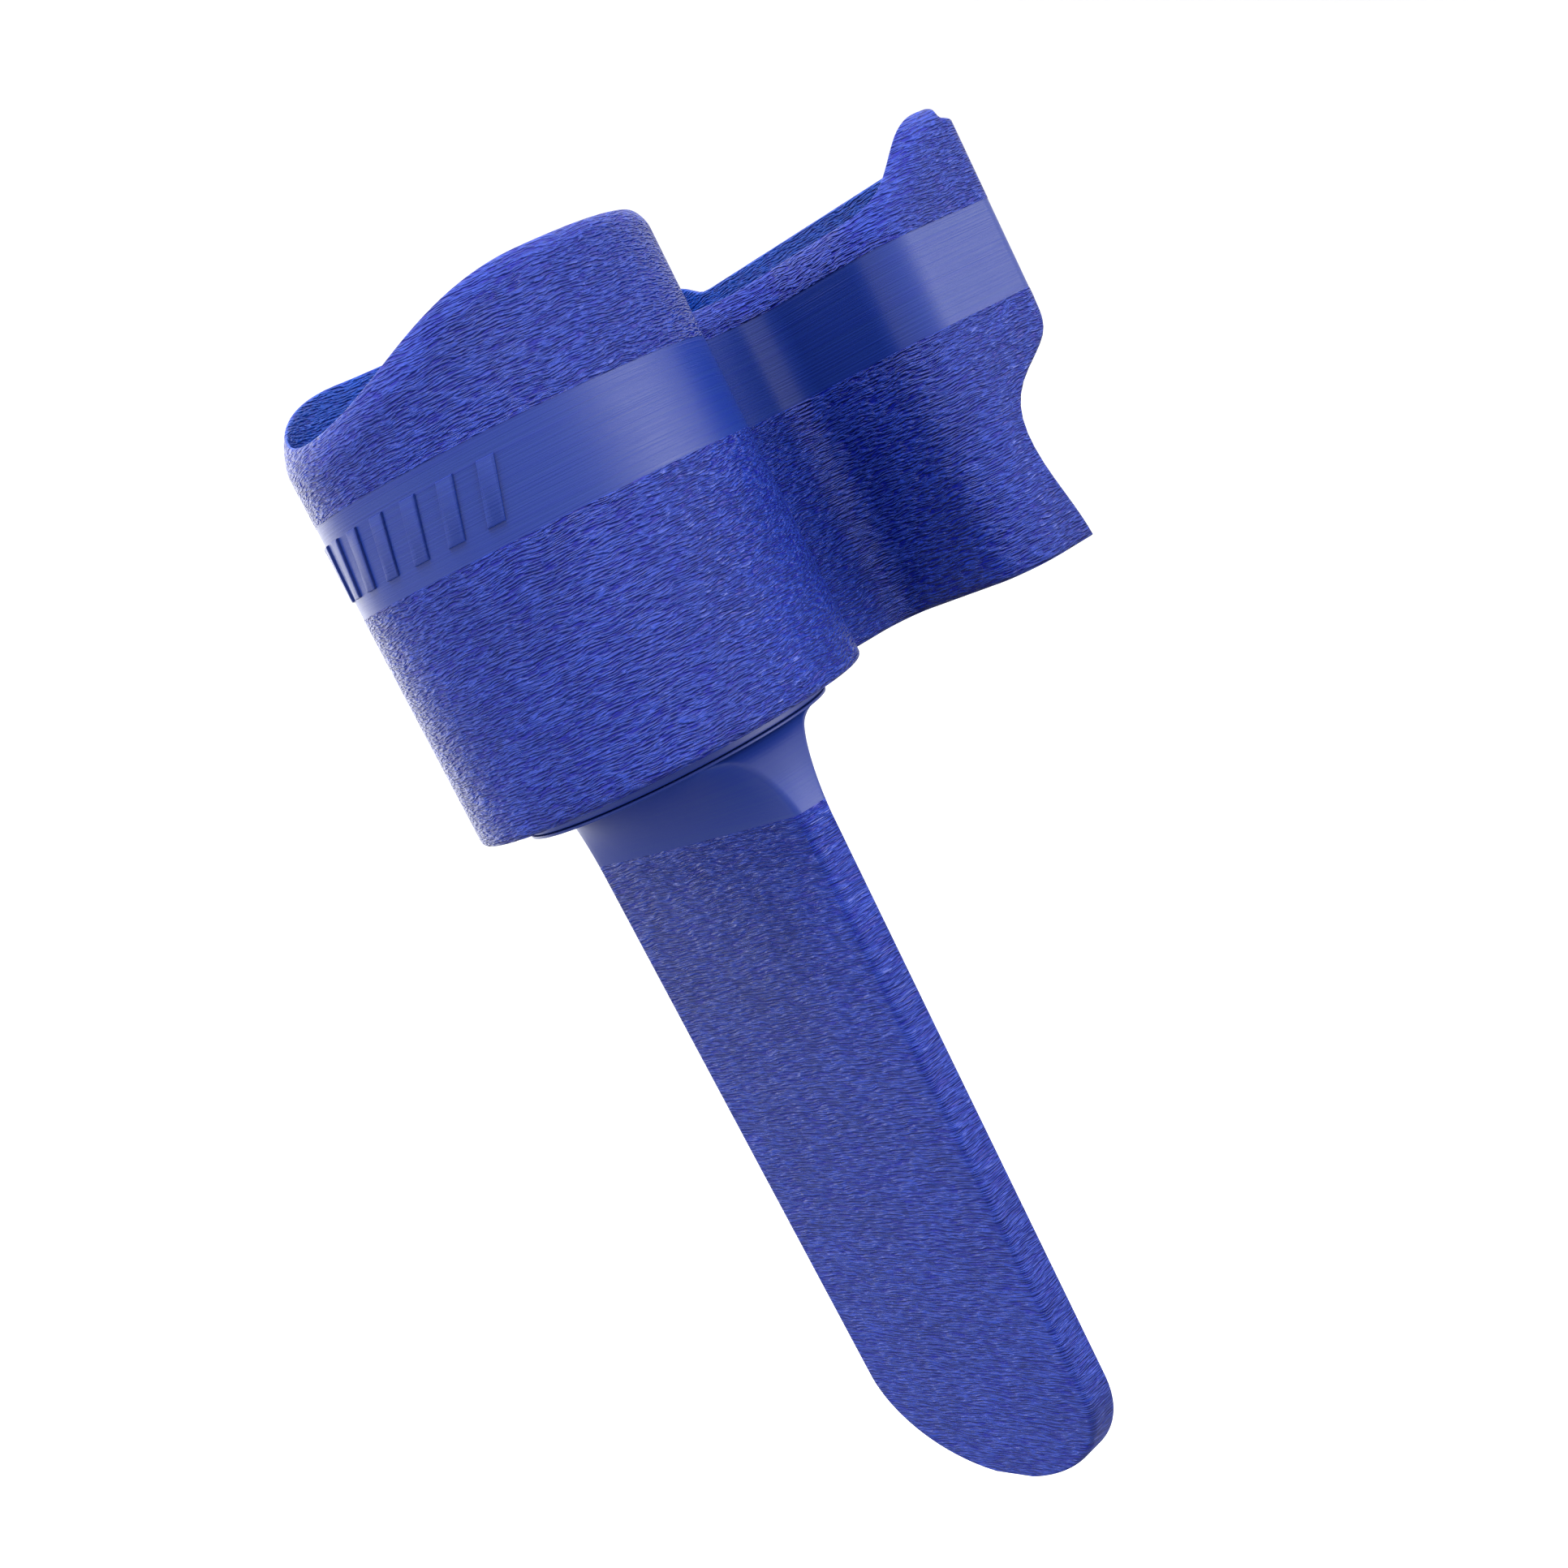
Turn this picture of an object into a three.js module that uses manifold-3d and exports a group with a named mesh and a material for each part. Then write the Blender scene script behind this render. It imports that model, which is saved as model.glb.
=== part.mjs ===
// A one-handed sock aid: a round cup that takes the toe of the sock, a wide rear chamber that
// holds the leg of the sock open, and a flat paddle handle under the cup. Millimetres, +Z up.
// The origin is on the cup's axis at the underside of the head. The cup faces -Y, and the part
// is symmetric about the plane x = 0.
import * as THREE from 'three';
import { LoftGeometry } from 'three/addons/geometries/LoftGeometry.js';
import { mergeVertices } from 'three/addons/utils/BufferGeometryUtils.js';
import Module from 'manifold-3d';

// driving dimensions
const CUP_R = 35; // outer radius of the cup
const HEAD_H = 80; // underside to the highest rim
const WALL = 2.6; // wall thickness of the head
const FLOOR_T = 3; // floor of the cup
const WAIST_HALF = 11.5; // half of the outer width of the waist
const WAIST_IN_R = 4; // fillet between cup and waist
const WAIST_OUT_R = 6; // fillet between waist and shoulder
const SHOULDER_Y = 48.5; // outer face of the shoulder wall
const SHOULDER_R = 9; // convex corner between shoulder and side wall
const CHAMBER_HALF = 44.5; // half of the outer width of the rear chamber
const CHAMBER_BACK = 78.5; // outer face of the back wall
const BACK_R = 3.6; // corner between side wall and back wall

const FRONT_RIM = 67.4; // lowest rim of the cup, at its front
const LOW_RIM = 62.9; // rim of the waist and the shoulder
const EAR_RIM = 75; // highest rim of the side wall, near the back
const BACK_RIM = 69.5; // rim of the back wall
const CORNER_RIM = 72.9; // rim of the back corners, a step below the ears

const BAND_LOW = 41.4; // smooth belt round the head
const BAND_HIGH = 57.6;
const MARK_PROUD = 0.4; // relief of the slanted marks on the belt
const MARK_COUNT = 9;
const MARK_STEP = 11.5; // degrees between marks

const DISC_R = 27.3;
const DISC_T = 1.2;
const FLANGE_T = 0.5; // rim of the handle's flange
const GAP = 0.4; // clearance between stacked pieces

const GRIP_HALF = 31.2; // half width of the paddle at the neck
const GRIP_TIP_HALF = 29.1; // half width where the tip starts to round
const GRIP_T = 6.3; // thickness of the paddle
const GRIP_Y = -2; // middle plane of the paddle
const GRIP_EDGE_R = 1.1; // rounding of the paddle's long edges
const NECK_Z = -19; // where the flared neck ends
const NECK_CORNER = 22; // degrees from +X where the paddle's corners meet the flange
const TIP_ROUND = 18.9; // height of the elliptical tip
const TIP_Z = -140.1; // lowest point of the tip

const SCREW_X = 14;
const SCREW_Y = 4.5;
const SCREW_SHANK_R = 1.75;
const SCREW_HOLE_R = 2.1;
const SCREW_HEAD_R = 3.4;
const SCREW_HEAD_H = 2.2;
const SCREW_END_Z = -6.6;

const wasm = await Module();
wasm.setup();

// --- solids and booleans ---
function toSolid(geometry) {
  const bare = new THREE.BufferGeometry().copy(geometry);
  bare.deleteAttribute('normal');
  bare.deleteAttribute('uv');
  const merged = mergeVertices(bare, 1e-4);
  return new wasm.Manifold(new wasm.Mesh({
    numProp: 3,
    vertProperties: new Float32Array(merged.attributes.position.array),
    triVerts: new Uint32Array(merged.index.array),
  }));
}

function toGeometry(solid) {
  const mesh = solid.getMesh();
  const geometry = new THREE.BufferGeometry();
  geometry.setAttribute('position', new THREE.BufferAttribute(mesh.vertProperties, 3));
  geometry.setIndex(new THREE.BufferAttribute(mesh.triVerts, 1));
  geometry.computeVertexNormals();
  return geometry;
}

function cylinder(radius, zLow, zHigh, x = 0, y = 0, sides = 48) {
  const geometry = new THREE.CylinderGeometry(radius, radius, zHigh - zLow, sides);
  geometry.rotateX(Math.PI / 2);
  geometry.translate(x, y, (zLow + zHigh) / 2);
  return toSolid(geometry);
}

// --- head shell: a plan outline, cut to a side profile ---
// Points of an arc, in degrees, from one angle to another.
function arc(cx, cy, r, from, to, steps) {
  const points = [];
  for (let i = 0; i <= steps; i += 1) {
    const a = THREE.MathUtils.degToRad(from + (to - from) * (i / steps));
    points.push(new THREE.Vector2(cx + r * Math.cos(a), cy + r * Math.sin(a)));
  }
  return points;
}

// The outline at a given inset from the outer faces: cup, waist, shoulders and rear chamber.
function headOutline(inset) {
  const cupR = CUP_R - inset;
  const waist = WAIST_HALF - inset;
  const inR = WAIST_IN_R + inset;
  const outR = WAIST_OUT_R + inset;
  const shoulderY = SHOULDER_Y + inset;
  const half = CHAMBER_HALF - inset;
  const cornerR = SHOULDER_R - inset;
  const back = CHAMBER_BACK - inset;
  const backR = BACK_R - inset;
  const inX = waist + inR;
  const inY = Math.sqrt((cupR + inR) ** 2 - inX ** 2);
  const meet = THREE.MathUtils.radToDeg(Math.atan2(inY, inX)); // where the cup meets the waist fillet
  const rightSide = [
    ...arc(0, 0, cupR, -90, meet, 42),
    ...arc(inX, inY, inR, meet + 180, 180, 5).slice(1),
    ...arc(waist + outR, shoulderY - outR, outR, 180, 90, 7),
    ...arc(half - cornerR, shoulderY + cornerR, cornerR, -90, 0, 9),
    ...arc(half - backR, back - backR, backR, 0, 90, 6),
  ];
  const leftSide = rightSide.slice(1).reverse().map((p) => new THREE.Vector2(-p.x, p.y));
  return new THREE.Shape([...rightSide, ...leftSide]);
}

// The side view of the head in the YZ plane: front dip, high cup, low waist, ears and back.
function headProfile() {
  const earEnd = CHAMBER_BACK - BACK_R + 0.3; // the ears end where the back corners start to turn
  const crown = HEAD_H - 0.4;
  const profile = new THREE.Shape();
  profile.moveTo(-CUP_R - 2, 0);
  profile.lineTo(65.6, 0); // foot of the side wall
  profile.bezierCurveTo(65, 7, 61.4, 14, 62, 20.6);
  profile.bezierCurveTo(63, 31.4, 77.6, 29.4, 77.6, 38.6); // the wall sweeps back under the belt
  profile.lineTo(CHAMBER_BACK + 2, 38.6);
  profile.lineTo(CHAMBER_BACK + 2, CORNER_RIM);
  profile.lineTo(earEnd, CORNER_RIM);
  profile.lineTo(earEnd, EAR_RIM - 1);
  profile.bezierCurveTo(earEnd, EAR_RIM - 0.3, earEnd - 0.4, EAR_RIM, earEnd - 1.2, EAR_RIM);
  profile.lineTo(71.5, EAR_RIM);
  profile.bezierCurveTo(62, EAR_RIM, 60.5, LOW_RIM, 45, LOW_RIM);
  profile.lineTo(37, LOW_RIM);
  profile.bezierCurveTo(29.5, LOW_RIM, 34, HEAD_H, 26.5, HEAD_H);
  profile.lineTo(-5, crown);
  profile.bezierCurveTo(-25, crown, -30.5, FRONT_RIM + 0.3, -CUP_R - 2, FRONT_RIM);
  profile.closePath();
  return profile;
}

// An outline in the YZ plane drawn out along X over the given half width.
function prismAlongX(shape, half, curveSegments) {
  const options = { depth: 2 * half, bevelEnabled: false, curveSegments };
  const geometry = new THREE.ExtrudeGeometry(shape, options);
  geometry.applyMatrix4(new THREE.Matrix4().makeBasis(
    new THREE.Vector3(0, 1, 0), new THREE.Vector3(0, 0, 1), new THREE.Vector3(1, 0, 0)));
  geometry.translate(-half, 0, 0);
  return toSolid(geometry);
}

function headBlock(inset, zLow, zHigh) {
  const options = { depth: zHigh - zLow, bevelEnabled: false };
  const geometry = new THREE.ExtrudeGeometry(headOutline(inset), options);
  geometry.translate(0, 0, zLow);
  return toSolid(geometry);
}

// Slanted raised marks on the belt at the front of the cup.
function beltMarks() {
  const high = 9.6;
  const wide = 3;
  const slant = 3;
  const mark = new THREE.Shape();
  mark.moveTo(-wide / 2 - slant / 2, -high / 2);
  mark.lineTo(wide / 2 - slant / 2, -high / 2);
  mark.lineTo(wide / 2 + slant / 2, high / 2);
  mark.lineTo(-wide / 2 + slant / 2, high / 2);
  mark.closePath();
  const ring = cylinder(CUP_R + MARK_PROUD, BAND_LOW, BAND_HIGH, 0, 0, 96)
    .subtract(cylinder(CUP_R - WALL / 2, BAND_LOW - 1, BAND_HIGH + 1, 0, 0, 96));
  let marks = null;
  for (let i = 0; i < MARK_COUNT; i += 1) {
    const turn = (i - (MARK_COUNT - 1) / 2) * MARK_STEP; // spread evenly about the front of the cup
    const geometry = new THREE.ExtrudeGeometry(mark, { depth: 6, bevelEnabled: false });
    geometry.rotateX(Math.PI / 2); // upright, drawn out towards the front
    geometry.translate(0, -CUP_R + 4, (BAND_LOW + BAND_HIGH) / 2);
    geometry.rotateZ(THREE.MathUtils.degToRad(turn));
    const piece = toSolid(geometry).intersect(ring);
    marks = marks ? marks.add(piece) : piece;
  }
  return marks;
}

function screwPlaces() {
  const places = [];
  for (const sx of [-1, 1]) {
    for (const sy of [-1, 1]) places.push([sx * SCREW_X, GRIP_Y + sy * SCREW_Y]);
  }
  return places;
}

// The dip in the back wall's rim, between its two corners.
function backDip() {
  const low = CHAMBER_HALF - 13;
  const high = CHAMBER_HALF - 6;
  const dip = new THREE.Shape();
  dip.moveTo(-low, BACK_RIM);
  dip.lineTo(low, BACK_RIM);
  dip.bezierCurveTo(low + 3, BACK_RIM, high - 3, CORNER_RIM, high, CORNER_RIM);
  dip.lineTo(high, HEAD_H + 1);
  dip.lineTo(-high, HEAD_H + 1);
  dip.lineTo(-high, CORNER_RIM);
  dip.bezierCurveTo(3 - high, CORNER_RIM, -low - 3, BACK_RIM, -low, BACK_RIM);
  dip.closePath();
  const geometry = new THREE.ExtrudeGeometry(dip, { depth: 6, bevelEnabled: false, curveSegments: 8 });
  geometry.rotateX(Math.PI / 2); // upright, drawn out towards the front
  geometry.translate(0, CHAMBER_BACK + 1, 0);
  return toSolid(geometry);
}

function headShell() {
  let shell = headBlock(0, 0, HEAD_H + 1).subtract(headBlock(WALL, -1, HEAD_H + 2));
  shell = shell.intersect(prismAlongX(headProfile(), CHAMBER_HALF + 5, 18)).subtract(backDip());
  shell = shell.add(cylinder(CUP_R - WALL / 2, 0, FLOOR_T, 0, 0, 112));
  shell = shell.add(beltMarks());
  for (const [x, y] of screwPlaces()) {
    shell = shell.subtract(cylinder(SCREW_HOLE_R, -1, FLOOR_T + 1, x, y, 24));
  }
  return toGeometry(shell);
}

// --- seat disc between head and handle ---
function seatDisc() {
  let disc = cylinder(DISC_R, -GAP - DISC_T, -GAP, 0, 0, 96);
  for (const [x, y] of screwPlaces()) {
    disc = disc.subtract(cylinder(SCREW_HOLE_R, -GAP - DISC_T - 1, 0, x, y, 24));
  }
  return toGeometry(disc);
}

// --- handle: a flange that flares down into a flat paddle with a full-round tip ---
// One section of the neck or paddle, blended from a rounded rectangle (round = 0) to the
// flange's circle (round = 1). It runs clockwise, because the loft goes downwards.
function gripSection(halfWidth, halfThick, round, z) {
  const r = Math.min(GRIP_EDGE_R, halfThick * 0.7, halfWidth * 0.7);
  const circleR = DISC_R - 0.6;
  const cornerSpread = 4; // degrees of the flange that a corner's rounding takes
  const rect = [];
  const turns = [];
  const addCorner = (sx, sy, from, middle) => {
    rect.push(...arc(sx * (halfWidth - r), GRIP_Y + sy * (halfThick - r), r, from, from - 90, 3));
    for (const k of [1, 1 / 3, -1 / 3, -1]) turns.push(middle + (k * cornerSpread) / 2);
  };
  const addSide = (steps, fromTurn, toTurn, x0, y0, x1, y1) => {
    for (let i = 1; i < steps; i += 1) {
      const k = i / steps;
      rect.push(new THREE.Vector2(THREE.MathUtils.lerp(x0, x1, k), THREE.MathUtils.lerp(y0, y1, k)));
      turns.push(THREE.MathUtils.lerp(fromTurn, toTurn, k));
    }
  };
  const c = NECK_CORNER;
  const h = cornerSpread / 2;
  const front = GRIP_Y - halfThick;
  const back = GRIP_Y + halfThick;
  addCorner(1, 1, 90, c);
  addSide(4, c - h, h - c, halfWidth, back - r, halfWidth, front + r);
  addCorner(1, -1, 0, -c);
  addSide(13, -c - h, c + h - 180, halfWidth - r, front, r - halfWidth, front);
  addCorner(-1, -1, -90, c - 180);
  addSide(4, c - h - 180, h - c - 180, -halfWidth, front + r, -halfWidth, back - r);
  addCorner(-1, 1, -180, -c - 180);
  addSide(13, -c - h - 180, c + h - 360, r - halfWidth, back, halfWidth - r, back);
  return rect.map((p, i) => {
    const a = THREE.MathUtils.degToRad(turns[i]);
    return new THREE.Vector3(
      THREE.MathUtils.lerp(p.x, circleR * Math.cos(a), round),
      THREE.MathUtils.lerp(p.y, circleR * Math.sin(a), round), z);
  });
}

function handle() {
  const top = -2 * GAP - DISC_T;
  const straightEnd = TIP_Z + TIP_ROUND;
  const halfWidthAt = (z) => THREE.MathUtils.mapLinear(z, NECK_Z, straightEnd, GRIP_HALF, GRIP_TIP_HALF);
  const sections = [gripSection(GRIP_HALF, GRIP_T / 2, 1, top)];
  const flareSteps = 11;
  for (let i = 0; i <= flareSteps; i += 1) {
    const down = i / flareSteps;
    const round = (1 - Math.sqrt(1 - (1 - down) ** 2)) ** 0.9; // 1 at the flange, 0 at the paddle
    const z = THREE.MathUtils.lerp(top - FLANGE_T, NECK_Z, down);
    sections.push(gripSection(GRIP_HALF, GRIP_T / 2, round, z));
  }
  for (const down of [1 / 3, 2 / 3, 1]) {
    const z = THREE.MathUtils.lerp(NECK_Z, straightEnd, down);
    sections.push(gripSection(halfWidthAt(z), GRIP_T / 2, 0, z));
  }
  const tipSteps = 14;
  for (let i = 1; i <= tipSteps; i += 1) {
    const turn = (i / tipSteps) * (Math.PI / 2) * 0.97;
    const thin = (GRIP_T / 2) * Math.min(1, 0.55 + 2.2 * Math.cos(turn));
    const z = straightEnd - TIP_ROUND * Math.sin(turn);
    sections.push(gripSection(GRIP_TIP_HALF * Math.cos(turn), thin, 0, z));
  }
  let grip = toSolid(new LoftGeometry(sections, { capStart: true, capEnd: true }));
  grip = grip.add(cylinder(DISC_R, top - FLANGE_T, top, 0, 0, 96));
  for (const [x, y] of screwPlaces()) {
    grip = grip.subtract(cylinder(SCREW_HOLE_R, SCREW_END_Z - GAP, top + 1, x, y, 24));
  }
  return toGeometry(grip);
}

// --- screw: pan head and plain shank, turned about its own axis ---
function screw() {
  const low = FLOOR_T + 0.3;
  const head = low + SCREW_HEAD_H;
  const profile = [
    [0, SCREW_END_Z], [SCREW_SHANK_R * 0.6, SCREW_END_Z], [SCREW_SHANK_R, SCREW_END_Z + 1.2],
    [SCREW_SHANK_R, low], [SCREW_HEAD_R, low], [SCREW_HEAD_R, head - 1.1],
    [SCREW_HEAD_R * 0.8, head - 0.35], [SCREW_HEAD_R * 0.4, head], [0, head],
  ].map(([r, z]) => new THREE.Vector2(r, z));
  const geometry = new THREE.LatheGeometry(profile, 20);
  geometry.rotateX(Math.PI / 2);
  return geometry;
}

// --- materials and assembly ---
function finish(color, roughness, metalness) {
  return new THREE.MeshStandardMaterial({ color, roughness, metalness });
}
const bluePlastic = finish(0x3a4bb4, 0.55, 0);
const discPlastic = finish(0x4457bd, 0.4, 0);
const steel = finish(0xb8bcc2, 0.3, 1);

function piece(name, geometry, material) {
  const mesh = new THREE.Mesh(geometry, material);
  mesh.name = name;
  return mesh;
}

const sockAid = new THREE.Group();
sockAid.add(piece('head_shell', headShell(), bluePlastic));
sockAid.add(piece('seat_disc', seatDisc(), discPlastic));
sockAid.add(piece('handle', handle(), bluePlastic));
screwPlaces().forEach(([x, y], i) => {
  const mesh = piece(`screw_${i + 1}`, screw(), steel);
  mesh.position.set(x, y, 0);
  sockAid.add(mesh);
});

export default sockAid;
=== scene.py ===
import math
import bmesh
import bpy
import numpy as np
from mathutils import Matrix, Vector


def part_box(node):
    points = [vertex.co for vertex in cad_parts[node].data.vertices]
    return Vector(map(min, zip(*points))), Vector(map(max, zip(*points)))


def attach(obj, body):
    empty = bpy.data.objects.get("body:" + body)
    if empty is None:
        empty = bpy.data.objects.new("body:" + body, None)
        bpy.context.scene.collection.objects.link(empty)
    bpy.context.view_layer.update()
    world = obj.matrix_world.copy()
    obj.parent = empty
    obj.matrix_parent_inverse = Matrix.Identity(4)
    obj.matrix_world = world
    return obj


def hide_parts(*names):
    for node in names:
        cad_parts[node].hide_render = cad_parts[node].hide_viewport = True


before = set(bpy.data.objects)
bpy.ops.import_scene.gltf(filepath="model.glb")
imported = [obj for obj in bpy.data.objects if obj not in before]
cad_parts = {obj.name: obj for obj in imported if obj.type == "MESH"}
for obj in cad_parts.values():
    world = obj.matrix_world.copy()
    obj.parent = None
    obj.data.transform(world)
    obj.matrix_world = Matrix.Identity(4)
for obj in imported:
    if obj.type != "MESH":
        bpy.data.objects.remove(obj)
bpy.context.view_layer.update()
mm = 0.001  # sizes below are in millimetres and become metres when a mesh is made
scene = bpy.context.scene
print("loaded", len(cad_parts), "solid pieces")


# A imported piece's lowest and highest corners, in millimetres.
def nodeBox(name):
    return [[round(value / mm, 3) for value in corner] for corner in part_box(name)]


# ---- camera ----
camera = {
    "lens": 49.38,
    "sensor": 36.0,
    "azimuth": 54.5,  # degrees round the part, from its front
    "pitch": -7.986,
    "lean": -26.743,  # the part is shown leaning over to the left
    "distance": 355.63,
    "aside": 13.935,
    "height": 36.116,
}


def makeCamera():
    turn = math.radians(camera["azimuth"])
    ahead = Vector((-math.sin(turn), math.cos(turn), 0))
    right = Vector((math.cos(turn), math.sin(turn), 0))
    place = -ahead * camera["distance"] + right * camera["aside"]
    place.z = camera["height"]
    pitch = math.radians(camera["pitch"])
    look = ahead * math.cos(pitch) + Vector((0, 0, math.sin(pitch)))
    up = right.cross(look)
    view = Matrix((right, up, -look)).transposed().to_4x4()
    lean = Matrix.Rotation(math.radians(camera["lean"]), 4, "Z")
    lens = bpy.data.cameras.new("studioCamera")
    lens.lens = camera["lens"]
    lens.sensor_width = camera["sensor"]
    lens.clip_start = 0.01
    lens.clip_end = 20
    holder = bpy.data.objects.new("studioCamera", lens)
    holder.matrix_world = Matrix.Translation(place * mm) @ view @ lean
    scene.collection.objects.link(holder)
    scene.camera = holder


makeCamera()
print("camera placed")


# ---- floor and light ----
studio = {
    "floorLevel": -330.0,  # the part is shown held up, well clear of the floor
    "floorRadius": 1500.0,
    "sweepRadius": 500.0,
    "wallHeight": 700.0,
    "floorColour": (0.86, 0.86, 0.865, 1),
    "floorRoughness": 0.9,
    "skyLevel": 0.95,  # light from all round at eye level
    "skyBelow": 0.26,  # share of it that is left well below
    "skyDimFrom": -0.42,  # upward part of a direction where the sky is at its dimmest
    "skyAbove": 1.55,  # share of it overhead
    "skyBrightFrom": 0.25,  # upward part of a direction where the sky starts to brighten
    "skyBrightFull": 0.85,
    "brightSides": [  # direction of each bright side, how much brighter, cosine where it starts
        ((0.78, 0.62, 0.0), 0.3, 0.3),
        ((0.75, 0.53, -0.40), 6.5, 0.8),
        ((-0.99, 0.12, 0.0), 2.2, 0.85),
    ],
    "lampTarget": (0, 20, 0),
    "lamps": [  # name, place, size, power; none is seen in reflections
        ("topLamp", (200, -150, 900), 700, 18.0),
        ("fillLamp", (-300, -900, -200), 800, 8.5),
        ("rightLamp", (950, 450, 60), 900, 6.5),
    ],
}


def meshObject(name, points, faces):
    mesh = bpy.data.meshes.new(name)
    mesh.from_pydata([tuple(p) for p in np.asarray(points, float) * mm], [], [tuple(f) for f in faces])
    mesh.update()
    mesh.polygons.foreach_set("use_smooth", [True] * len(mesh.polygons))
    made = bpy.data.objects.new(name, mesh)
    scene.collection.objects.link(made)
    return made


# A profile of (radius, z) pairs turned about an upright axis; a radius of 0 closes onto the axis.
def latheMesh(name, profile, sides, centre=(0, 0)):
    points = []
    rings = []
    for radius, z in profile:
        if radius < 1e-6:
            rings.append([len(points)])
            points.append((centre[0], centre[1], z))
            continue
        rings.append(list(range(len(points), len(points) + sides)))
        for i in range(sides):
            a = 2 * math.pi * i / sides
            points.append((centre[0] + radius * math.cos(a), centre[1] + radius * math.sin(a), z))
    faces = []
    for low, high in zip(rings, rings[1:]):
        for i in range(sides):
            j = (i + 1) % sides
            if len(low) == 1:
                faces.append((low[0], high[j], high[i]))
            elif len(high) == 1:
                faces.append((low[i], low[j], high[0]))
            else:
                faces.append((low[i], low[j], high[j], high[i]))
    return meshObject(name, points, faces)


def plainMaterial(name, colour, roughness):
    material = bpy.data.materials.new(name)
    material.use_nodes = True
    shader = material.node_tree.nodes["Principled BSDF"]
    shader.inputs["Base Color"].default_value = colour
    shader.inputs["Roughness"].default_value = roughness
    return material


# Soft light from all round: dimmer from below, brighter overhead and on a few sides.
def softSky():
    sky = bpy.data.worlds.new("softSky")
    sky.use_nodes = True
    tree = sky.node_tree
    nodes, link = tree.nodes, tree.links.new
    shine = nodes["Background"]
    shine.inputs["Color"].default_value = (1, 1, 1, 1)
    place = nodes.new("ShaderNodeTexCoord")
    apart = nodes.new("ShaderNodeSeparateXYZ")
    link(place.outputs["Generated"], apart.inputs["Vector"])
    below = nodes.new("ShaderNodeMapRange")
    below.interpolation_type = "SMOOTHSTEP"
    below.inputs["From Min"].default_value = studio["skyDimFrom"]
    below.inputs["From Max"].default_value = 0.0
    below.inputs["To Min"].default_value = studio["skyBelow"]
    link(apart.outputs["Z"], below.inputs["Value"])
    above = nodes.new("ShaderNodeMapRange")
    above.interpolation_type = "SMOOTHSTEP"
    above.inputs["From Min"].default_value = studio["skyBrightFrom"]
    above.inputs["From Max"].default_value = studio["skyBrightFull"]
    above.inputs["To Min"].default_value = 1.0
    above.inputs["To Max"].default_value = studio["skyAbove"]
    link(apart.outputs["Z"], above.inputs["Value"])
    around = None  # light at eye level, summed over the bright sides
    for direction, extra, edge in studio["brightSides"]:
        side = nodes.new("ShaderNodeVectorMath")
        side.operation = "DOT_PRODUCT"
        side.inputs[1].default_value = direction
        link(place.outputs["Generated"], side.inputs[0])
        glow = nodes.new("ShaderNodeMapRange")
        glow.interpolation_type = "SMOOTHSTEP"
        glow.inputs["From Min"].default_value = edge
        glow.inputs["From Max"].default_value = 1.0
        glow.inputs["To Max"].default_value = extra
        link(side.outputs["Value"], glow.inputs["Value"])
        added = nodes.new("ShaderNodeMath")
        added.operation = "ADD"
        added.inputs[1].default_value = studio["skyLevel"]
        if around is not None:
            link(around, added.inputs[1])
        link(glow.outputs["Result"], added.inputs[0])
        around = added.outputs[0]
    height = nodes.new("ShaderNodeMath")
    height.operation = "MULTIPLY"
    link(below.outputs["Result"], height.inputs[0])
    link(above.outputs["Result"], height.inputs[1])
    total = nodes.new("ShaderNodeMath")
    total.operation = "MULTIPLY"
    link(height.outputs[0], total.inputs[0])
    link(around, total.inputs[1])
    link(total.outputs[0], shine.inputs["Strength"])
    return sky


def makeStudio():
    level = studio["floorLevel"]
    radius = studio["floorRadius"]
    sweep = studio["sweepRadius"]
    profile = [(0, level), (radius * 0.5, level), (radius, level)]
    for i in range(1, 13):
        a = math.radians(90 * i / 12)
        profile.append((radius + sweep * math.sin(a), level + sweep * (1 - math.cos(a))))
    profile.append((radius + sweep, level + sweep + studio["wallHeight"]))
    floor = latheMesh("studioFloor", profile, 96)
    floor.data.materials.append(plainMaterial("paleFloor", studio["floorColour"], studio["floorRoughness"]))
    floor.visible_diffuse = False
    floor.visible_glossy = False
    floor.visible_shadow = False
    scene.world = softSky()
    target = Vector(studio["lampTarget"]) * mm
    for name, place, size, power in studio["lamps"]:
        lamp = bpy.data.lights.new(name, "AREA")
        lamp.shape = "DISK"
        lamp.size = size * mm
        lamp.energy = power
        holder = bpy.data.objects.new(name, lamp)
        spot = Vector(place) * mm
        holder.location = spot
        holder.visible_glossy = False
        holder.rotation_euler = (target - spot).to_track_quat("-Z", "Y").to_euler()
        scene.collection.objects.link(holder)
    scene.view_settings.view_transform = "Standard"


makeStudio()
print("floor and lamps ready")


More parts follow.
